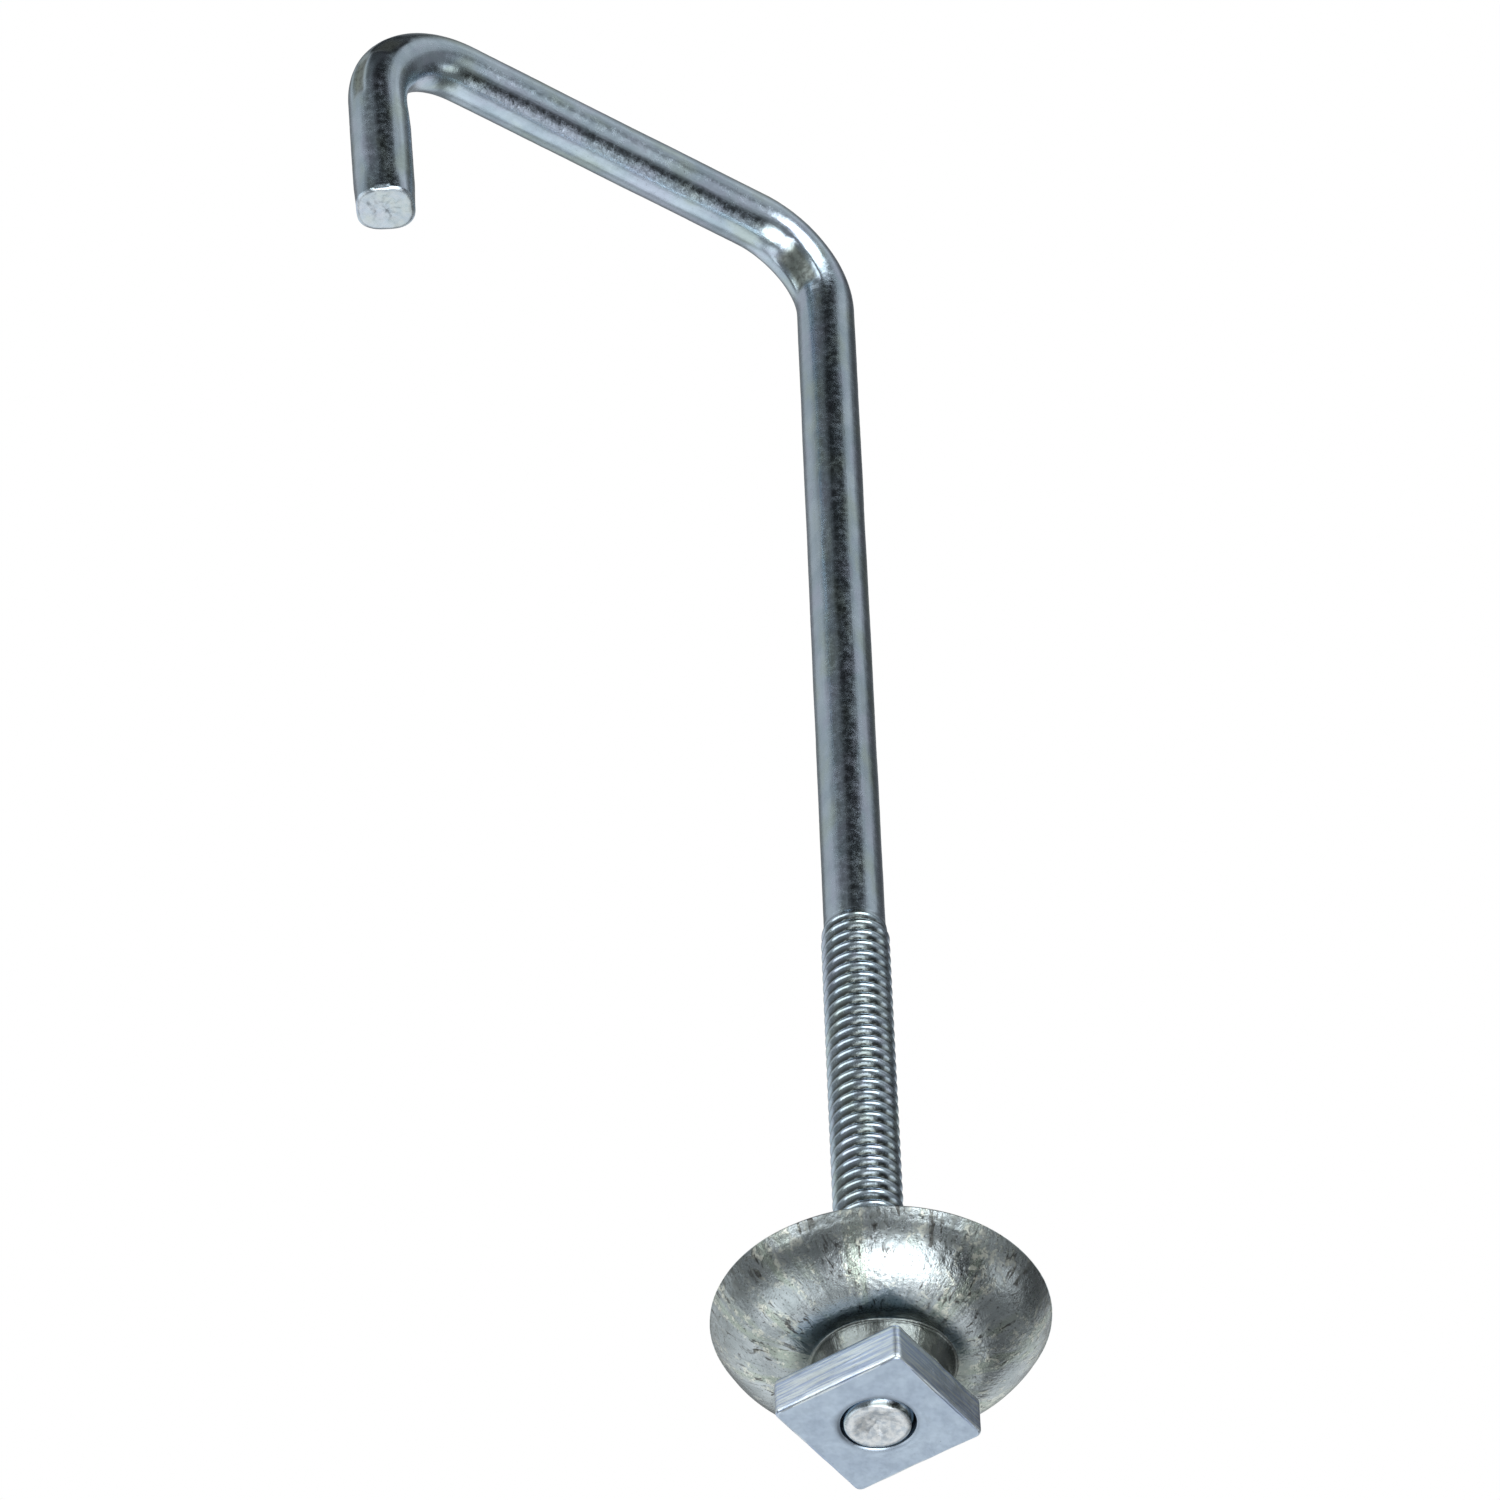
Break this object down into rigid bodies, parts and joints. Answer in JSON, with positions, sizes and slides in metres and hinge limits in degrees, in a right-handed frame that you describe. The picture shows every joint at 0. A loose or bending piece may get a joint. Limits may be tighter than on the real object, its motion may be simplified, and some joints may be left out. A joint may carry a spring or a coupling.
{
  "type": "hook bolt",
  "caption": "Square-bend hook bolt: a bent round rod with a threaded end, a domed washer and a square nut, for hooking sheet or rails to a bar.",
  "frame": {"origin": "centre of the threaded end's face", "axes": "+Z along the shank towards the hook, arm of the hook towards -X"},
  "size_m": [0.0686, 0.029, 0.15],
  "materials": {
    "rod_zinc": "bright zinc on drawn wire, lightly streaked",
    "washer_zinc": "bright zinc on pressed sheet, scratched",
    "nut_zinc": "satin zinc on sheared bar"
  },
  "bodies": {
    "rod": {"hook_rod": "rod_zinc"},
    "washer": {"dome_washer": "washer_zinc"},
    "nut": {"square_nut": "nut_zinc"}
  },
  "joints": [
    {"name": "nut_travel", "type": "slide", "parent": "rod", "child": "washer", "axis": [0, 0, 1], "range_m": [0, 0.05334]},
    {"name": "nut_turn", "type": "hinge", "parent": "washer", "child": "nut", "pos_m": [0, 0, 0.002], "axis": [0, 0, 1], "range_deg": [0, 15120]}
  ],
  "couplings": [
    {"joint": "nut_travel", "follows": "nut_turn", "m_per_rad": 0.00020213}
  ]
}
